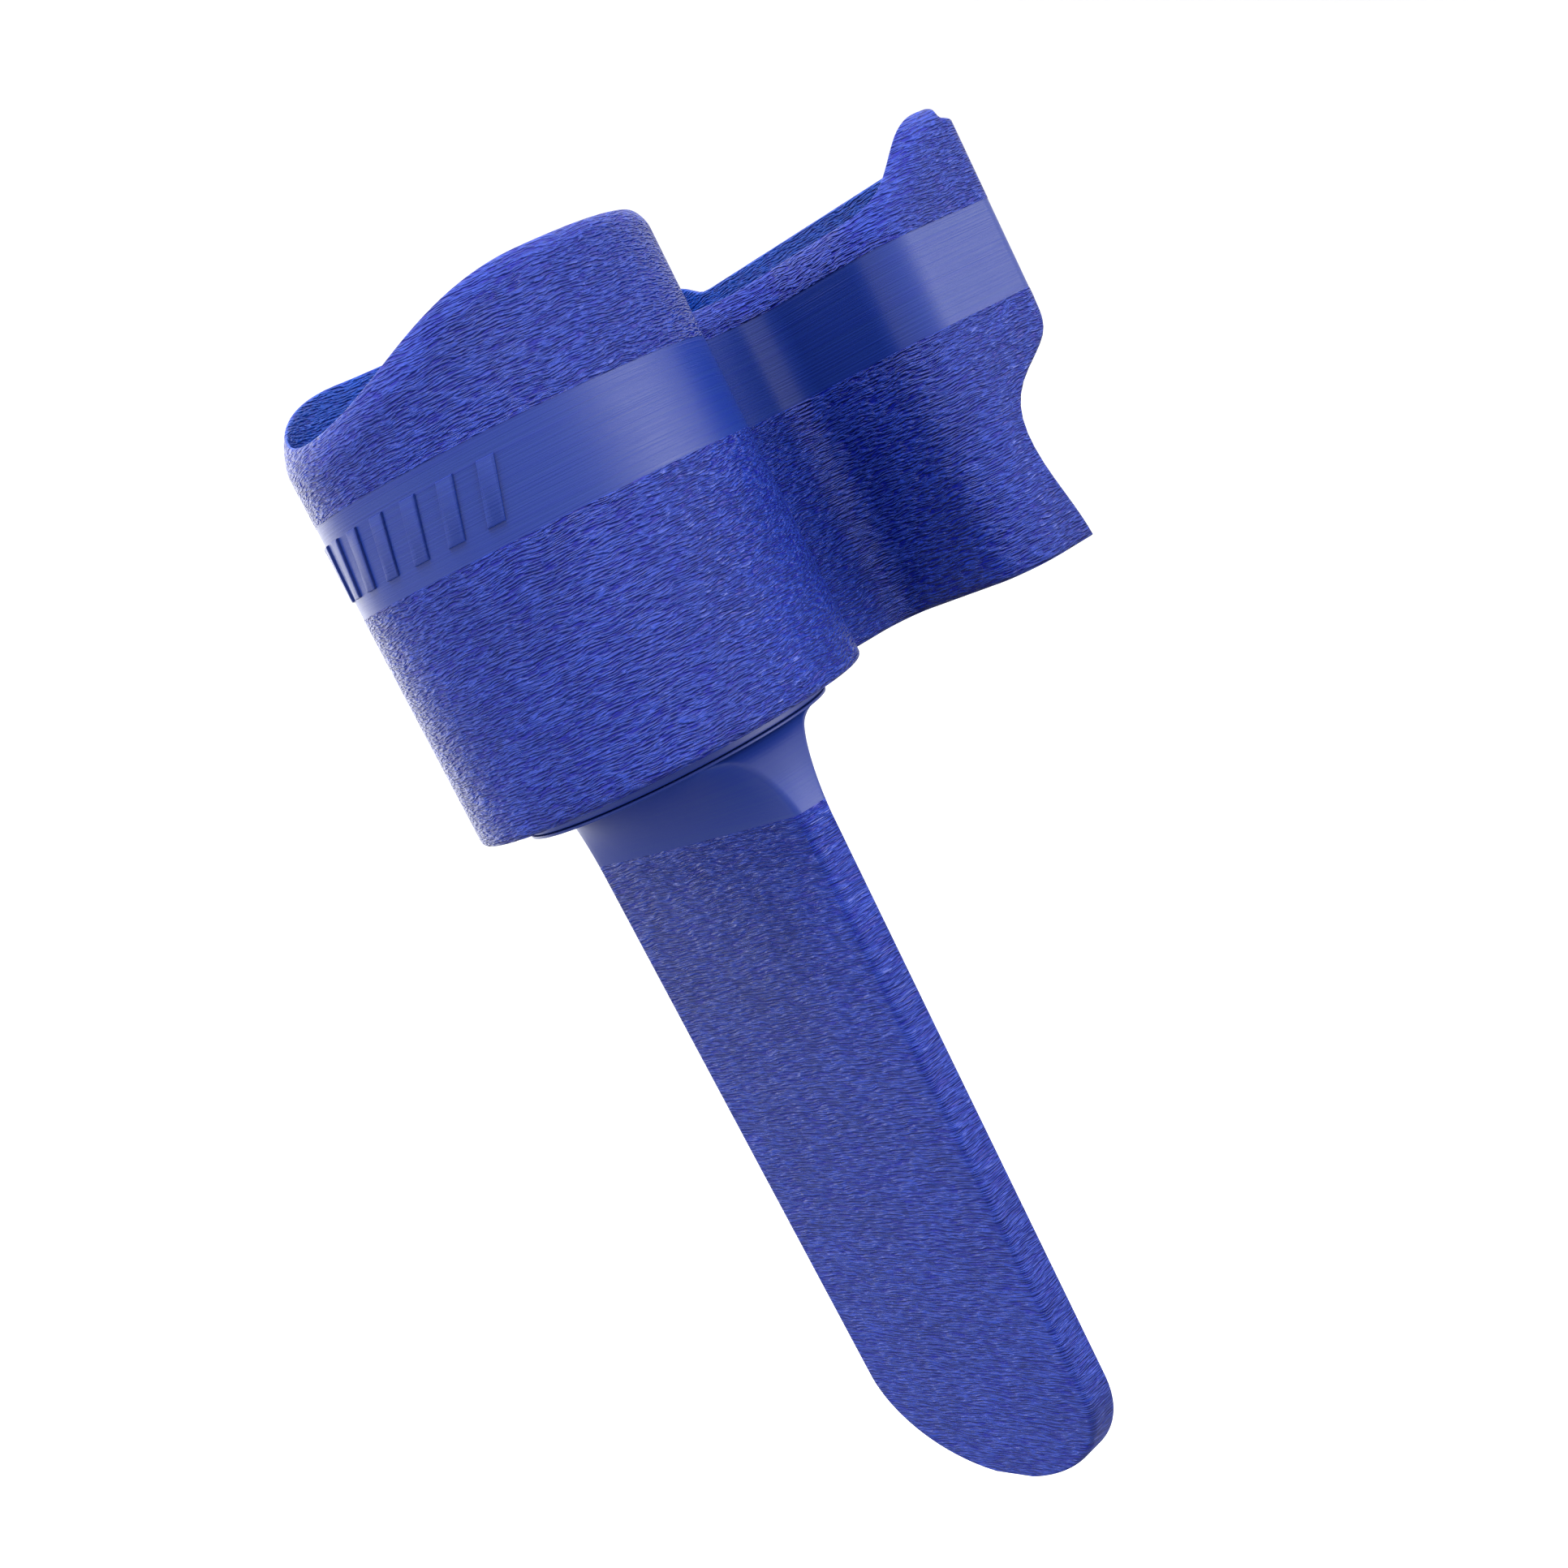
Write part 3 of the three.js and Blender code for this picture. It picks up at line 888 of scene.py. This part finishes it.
def newTree(name, inputs):
    tree = bpy.data.node_groups.new(name, "GeometryNodeTree")
    tree.is_modifier = True
    ids = {}
    tree.interface.new_socket("Geometry", in_out="INPUT", socket_type="NodeSocketGeometry")
    for label, kind in inputs:
        socket = tree.interface.new_socket(label, in_out="INPUT", socket_type=kind)
        ids[label] = socket.identifier
    tree.interface.new_socket("Geometry", in_out="OUTPUT", socket_type="NodeSocketGeometry")
    source = tree.nodes.new("NodeGroupInput")
    result = tree.nodes.new("NodeGroupOutput")
    result.location = (900, 0)
    return tree, ids, source, result


def runTree(name, tree, values):
    mesh = bpy.data.meshes.new(name)
    obj = bpy.data.objects.new(name, mesh)
    scene.collection.objects.link(obj)
    modifier = obj.modifiers.new(name, "NODES")
    modifier.node_group = tree
    for identifier, value in values.items():
        modifier[identifier] = value
    return bakeModifiers(obj)


# Copies of a template turned about the upright axis, evenly spread about the front.
def turnedRowTree():
    tree, ids, source, result = newTree("turnedRow", [
        ("Template", "NodeSocketObject"), ("Count", "NodeSocketInt"), ("Step", "NodeSocketFloat"),
        ("Material", "NodeSocketMaterial")])
    nodes, link = tree.nodes, tree.links.new
    line = nodes.new("GeometryNodeMeshLine")
    line.inputs["Offset"].default_value = (0, 0, 0)
    info = nodes.new("GeometryNodeObjectInfo")
    index = nodes.new("GeometryNodeInputIndex")
    last = nodes.new("ShaderNodeMath")
    last.operation = "SUBTRACT"
    last.inputs[1].default_value = 1
    middle = nodes.new("ShaderNodeMath")
    middle.operation = "DIVIDE"
    middle.inputs[1].default_value = 2
    offset = nodes.new("ShaderNodeMath")
    offset.operation = "SUBTRACT"
    angle = nodes.new("ShaderNodeMath")
    angle.operation = "MULTIPLY"
    turn = nodes.new("ShaderNodeCombineXYZ")
    place = nodes.new("GeometryNodeInstanceOnPoints")
    real = nodes.new("GeometryNodeRealizeInstances")
    paint = nodes.new("GeometryNodeSetMaterial")
    link(source.outputs["Count"], line.inputs["Count"])
    link(source.outputs["Template"], info.inputs["Object"])
    link(source.outputs["Count"], last.inputs[0])
    link(last.outputs[0], middle.inputs[0])
    link(index.outputs[0], offset.inputs[0])
    link(middle.outputs[0], offset.inputs[1])
    link(offset.outputs[0], angle.inputs[0])
    link(source.outputs["Step"], angle.inputs[1])
    link(angle.outputs[0], turn.inputs["Z"])
    link(line.outputs["Mesh"], place.inputs["Points"])
    link(info.outputs["Geometry"], place.inputs["Instance"])
    link(turn.outputs["Vector"], place.inputs["Rotation"])
    link(place.outputs["Instances"], real.inputs["Geometry"])
    link(real.outputs["Geometry"], paint.inputs["Geometry"])
    link(source.outputs["Material"], paint.inputs["Material"])
    link(paint.outputs["Geometry"], result.inputs[0])
    return tree, ids


def makeMarks():
    template = markTemplate()
    tree, ids = turnedRowTree()
    made = runTree("beltMarks", tree, {
        ids["Template"]: template, ids["Count"]: marks["count"],
        ids["Step"]: math.radians(marks["step"]), ids["Material"]: beltBlue})
    bpy.data.objects.remove(template)
    cleanNormals(made)
    shadeByAngle(made, marks["smoothBelow"])
    return made


beltMarks = makeMarks()
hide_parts("head_shell")
for piece in (headShell, beltMarks):
    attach(piece, "root")
print("belt marks", len(beltMarks.data.polygons), "faces")


# ---- seat disc under the head ----
seat = {
    "radius": nodeBox("seat_disc")[1][0],
    "low": -1.8,  # thin shadow gaps stay above and below it
    "high": -0.2,
    "round": 0.25,
    "sides": 144,
    "smoothBelow": 40,
}


def makeSeatDisc():
    r, low, high, soft = seat["radius"], seat["low"], seat["high"], seat["round"]
    profile = [(0, low), (r * 0.55, low), (r - soft * 2, low)]
    for level, startTurn in ((low + soft, -90), (high - soft, 0)):  # rounded rim, lower then upper
        for i in range(5):
            a = math.radians(startTurn + 90 * i / 4)
            profile.append((r - soft + soft * math.cos(a), level + soft * math.sin(a)))
    profile += [(r - soft * 2, high), (r * 0.55, high), (0, high)]
    disc = latheMesh("seatDisc", profile, seat["sides"])
    setMaterials(disc, neckBlue)
    cleanNormals(disc)
    drill(disc, low - 1, high + 1)
    shadeByAngle(disc, seat["smoothBelow"])
    return disc


seatDisc = makeSeatDisc()
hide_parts("seat_disc")
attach(seatDisc, "root")
print("seat disc", len(seatDisc.data.polygons), "faces")


# ---- handle: a round flange that flares down into a flat paddle ----
handleHigh = nodeBox("handle")[1]
grip = {
    "top": handleHigh[2],
    "flange": 0.5,
    "flangeRadius": seat["radius"],
    "flareRadius": 26.7,
    "half": handleHigh[0],
    "tipHalf": 29.1,
    "thick": 6.3,
    "middleY": -2.0,
    "edgeRound": 1.2,
    "flangeRound": 0.15,
    "neckEnd": -19.0,
    "grainStart": -15.2,
    "cornerTurn": 22.0,  # degrees from the side where the paddle's corners meet the flange
    "cornerSpread": 2.0,  # degrees that half of such a corner takes up on the flange
    "tipRound": 18.9,
    "tip": -140.05,
    "holeEnd": -7.0,
    "flareSteps": 36,
    "paddleSteps": 30,
    "tipSteps": 34,
    "smoothBelow": 40,
}


# One level section of the handle, from a rounded rectangle (0) to the flange's circle (1).
def gripSection(half, halfThick, toCircle, z):
    r = min(grip["edgeRound"], halfThick * 0.75, half * 0.7)
    middle = grip["middleY"]
    front, back = middle - halfThick, middle + halfThick
    corner = grip["cornerTurn"]
    spread = grip["cornerSpread"]
    cornerSteps, thinSteps, faceSteps = 6, 8, 34
    flat = []
    turns = []

    def addCorner(sx, sy, startTurn, centreTurn):
        for i in range(cornerSteps + 1):
            a = math.radians(startTurn - 90 * i / cornerSteps)
            flat.append((sx * (half - r) + r * math.cos(a), middle + sy * (halfThick - r) + r * math.sin(a)))
            turns.append(centreTurn + spread * (1 - 2 * i / cornerSteps))

    def addSide(steps, turn0, turn1, x0, y0, x1, y1):
        for i in range(1, steps):
            k = i / steps
            flat.append((x0 + (x1 - x0) * k, y0 + (y1 - y0) * k))
            turns.append(turn0 + (turn1 - turn0) * k)

    addCorner(1, 1, 90, corner)
    addSide(thinSteps, corner - spread, spread - corner, half, back - r, half, front + r)
    addCorner(1, -1, 0, -corner)
    addSide(faceSteps, -corner - spread, corner + spread - 180, half - r, front, r - half, front)
    addCorner(-1, -1, -90, corner - 180)
    addSide(thinSteps, corner - spread - 180, spread - corner - 180, -half, front + r, -half, back - r)
    addCorner(-1, 1, -180, -corner - 180)
    addSide(faceSteps, -corner - spread - 180, corner + spread - 360, r - half, back, half - r, back)
    ring = []
    for (x, y), turn in zip(flat, turns):
        a = math.radians(turn)
        cx, cy = grip["flareRadius"] * math.cos(a), grip["flareRadius"] * math.sin(a)
        ring.append((x + (cx - x) * toCircle, y + (cy - y) * toCircle, z))
    return ring


def scaledRing(ring, radius, z):
    return [(x * radius / grip["flareRadius"], y * radius / grip["flareRadius"], z) for x, y, _ in ring]


def makeHandle():
    half, halfThick = grip["half"], grip["thick"] / 2
    under = grip["top"] - grip["flange"]
    straightEnd = grip["tip"] + grip["tipRound"]
    circle = gripSection(half, halfThick, 1, under)
    soft = grip["flangeRound"]
    rings = [scaledRing(circle, grip["flangeRadius"] - soft, grip["top"]),
             scaledRing(circle, grip["flangeRadius"] - soft * 0.3, grip["top"] - soft * 0.3),
             scaledRing(circle, grip["flangeRadius"], grip["top"] - soft),
             scaledRing(circle, grip["flangeRadius"], under + soft),
             scaledRing(circle, grip["flangeRadius"] - soft * 0.3, under + soft * 0.3),
             scaledRing(circle, grip["flangeRadius"] - soft, under)]
    flareSteps, paddleSteps, tipSteps = grip["flareSteps"], grip["paddleSteps"], grip["tipSteps"]
    flareZ = [under + (grip["neckEnd"] - under) * (i / flareSteps) ** 1.15 for i in range(flareSteps + 1)]
    flareZ = sorted(flareZ + [grip["grainStart"]], reverse=True)
    for z in flareZ:
        down = (z - under) / (grip["neckEnd"] - under)
        toCircle = (1 - math.sqrt(max(0, 1 - (1 - down) ** 2))) ** 0.9
        rings.append(gripSection(half, halfThick, toCircle, z))
    for i in range(1, paddleSteps + 1):
        z = grip["neckEnd"] + (straightEnd - grip["neckEnd"]) * i / paddleSteps
        k = i / paddleSteps
        rings.append(gripSection(half + (grip["tipHalf"] - half) * k, halfThick, 0, z))
    for i in range(1, tipSteps + 1):
        turn = math.radians(90) * (i / tipSteps) * 0.985
        thin = halfThick * min(1, 0.55 + 2.2 * math.cos(turn))
        z = straightEnd - grip["tipRound"] * math.sin(turn)
        rings.append(gripSection(grip["tipHalf"] * math.cos(turn), thin, 0, z))
    size = len(rings[0])
    points = [p for ring in rings for p in ring]
    faces = []
    slots = []
    for k in range(len(rings) - 1):
        level = (rings[k][0][2] + rings[k + 1][0][2]) / 2
        for i in range(size):
            j = (i + 1) % size
            faces.append((k * size + i, k * size + j, (k + 1) * size + j, (k + 1) * size + i))
            slots.append(0 if level < grip["grainStart"] else 1)
    faces.append(tuple(range(size)))
    faces.append(tuple(range(len(points) - size, len(points))))
    slots += [1, 0]
    made = meshObject("handle", points, faces)
    made.data.polygons.foreach_set("material_index", slots)
    setMaterials(made, handleBlue, neckBlue)
    cleanNormals(made)
    drill(made, grip["holeEnd"], 0)
    shadeByAngle(made, grip["smoothBelow"])
    return made


handle = makeHandle()
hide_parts("handle")
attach(handle, "root")
print("handle", len(handle.data.polygons), "faces")


# ---- screws ----
steel = {
    "dull": (0.50, 0.51, 0.53, 1),
    "bright": (0.66, 0.66, 0.67, 1),
    "brushScale": (900, 900, 3000),
    "brushDepth": 0.00002,
    "wearScale": 500,
    "roughness": (0.24, 0.42),
}


def steelMaterial():
    material = bpy.data.materials.new("screwSteel")
    material.use_nodes = True
    tree = NodeTree(material)
    place = tree.add("ShaderNodeTexCoord").outputs["Object"]
    fine = tree.noise(tree.stretch(place, steel["brushScale"]), 1.0, 3, 0.6)
    worn = tree.noise(place, steel["wearScale"], 3, 0.6)
    tree.link(tree.blend(worn, steel["dull"], steel["bright"]), tree.shader.inputs["Base Color"])
    tree.link(tree.spread(fine, 0.3, 0.7, *steel["roughness"]), tree.shader.inputs["Roughness"])
    tree.link(tree.bump(fine, steel["brushDepth"]), tree.shader.inputs["Normal"])
    tree.shader.inputs["Metallic"].default_value = 1.0
    return material


def screwTemplate():
    q = screwSet
    r, low, high = q["headRadius"], q["headLow"], q["headHigh"]
    profile = [(0, q["tip"]), (q["shankRadius"] * 0.55, q["tip"]), (q["shankRadius"], q["tip"] + 1.2)]
    z = q["tip"] + 1.6
    while z < low - 1.5:  # thread
        profile += [(q["shankRadius"] - q["threadDeep"], z), (q["shankRadius"], z + q["threadRise"])]
        z += q["threadPitch"]
    profile += [(q["shankRadius"] - 0.1, low - 0.3), (q["shankRadius"], low), (r - 0.2, low), (r, low + 0.2)]
    for i in range(9):  # domed head
        a = math.radians(90 * i / 8)
        profile.append((r * (1 - 0.55 * (1 - math.cos(a))) if i < 8 else 0,
                        low + q["domeFoot"] + (high - low - q["domeFoot"]) * math.sin(a)))
    made = latheMesh("screwTemplate", profile, 40)
    cleanNormals(made)
    cutters = []
    for turn in (0, math.pi / 2):
        long, wide = q["recessRadius"], q["recessWide"] / 2
        points = []
        for z, k in ((high - q["recessDeep"], 0.55), (high + 1, 1.35)):
            for x, y in ((-long * k, -wide), (long * k, -wide), (long * k, wide), (-long * k, wide)):
                points.append((x * math.cos(turn) - y * math.sin(turn),
                               x * math.sin(turn) + y * math.cos(turn), z))
        faces = [(0, 3, 2, 1), (4, 5, 6, 7), (0, 1, 5, 4), (1, 2, 6, 5), (2, 3, 7, 6), (3, 0, 4, 7)]
        cutters.append(meshObject("recess", points, faces))
    for cutter in cutters:
        cut = made.modifiers.new("recess", "BOOLEAN")
        cut.operation = "DIFFERENCE"
        cut.solver = "EXACT"
        cut.object = cutter
    bakeModifiers(made)
    for cutter in cutters:
        bpy.data.objects.remove(cutter)
    shadeByAngle(made, q["smoothBelow"])
    return made


# Copies of a template at the crossings of a grid of two by two.
def screwGridTree():
    tree, ids, source, result = newTree("screwGrid", [
        ("Template", "NodeSocketObject"), ("Spread X", "NodeSocketFloat"), ("Spread Y", "NodeSocketFloat"),
        ("Middle Y", "NodeSocketFloat"), ("Material", "NodeSocketMaterial")])
    nodes, link = tree.nodes, tree.links.new
    grid = nodes.new("GeometryNodeMeshGrid")
    grid.inputs["Vertices X"].default_value = 2
    grid.inputs["Vertices Y"].default_value = 2
    shift = nodes.new("ShaderNodeCombineXYZ")
    move = nodes.new("GeometryNodeSetPosition")
    info = nodes.new("GeometryNodeObjectInfo")
    turn = nodes.new("FunctionNodeRandomValue")
    turn.data_type = "FLOAT_VECTOR"
    turn.inputs["Max"].default_value = (0, 0, math.pi / 2)
    turn.inputs["Seed"].default_value = 4
    place = nodes.new("GeometryNodeInstanceOnPoints")
    real = nodes.new("GeometryNodeRealizeInstances")
    paint = nodes.new("GeometryNodeSetMaterial")
    link(source.outputs["Spread X"], grid.inputs["Size X"])
    link(source.outputs["Spread Y"], grid.inputs["Size Y"])
    link(source.outputs["Middle Y"], shift.inputs["Y"])
    link(grid.outputs["Mesh"], move.inputs["Geometry"])
    link(shift.outputs["Vector"], move.inputs["Offset"])
    link(source.outputs["Template"], info.inputs["Object"])
    link(move.outputs["Geometry"], place.inputs["Points"])
    link(info.outputs["Geometry"], place.inputs["Instance"])
    link(turn.outputs["Value"], place.inputs["Rotation"])
    link(place.outputs["Instances"], real.inputs["Geometry"])
    link(real.outputs["Geometry"], paint.inputs["Geometry"])
    link(source.outputs["Material"], paint.inputs["Material"])
    link(paint.outputs["Geometry"], result.inputs[0])
    return tree, ids


def makeScrews():
    template = screwTemplate()
    tree, ids = screwGridTree()
    made = runTree("screws", tree, {
        ids["Template"]: template, ids["Spread X"]: screwSet["spreadX"] * mm,
        ids["Spread Y"]: screwSet["spreadY"] * mm, ids["Middle Y"]: screwSet["middleY"] * mm,
        ids["Material"]: steelMaterial()})
    bpy.data.objects.remove(template)
    return made


screws = makeScrews()
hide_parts("screw_1", "screw_2", "screw_3", "screw_4")
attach(screws, "root")
print("screws", len(screws.data.polygons), "faces")
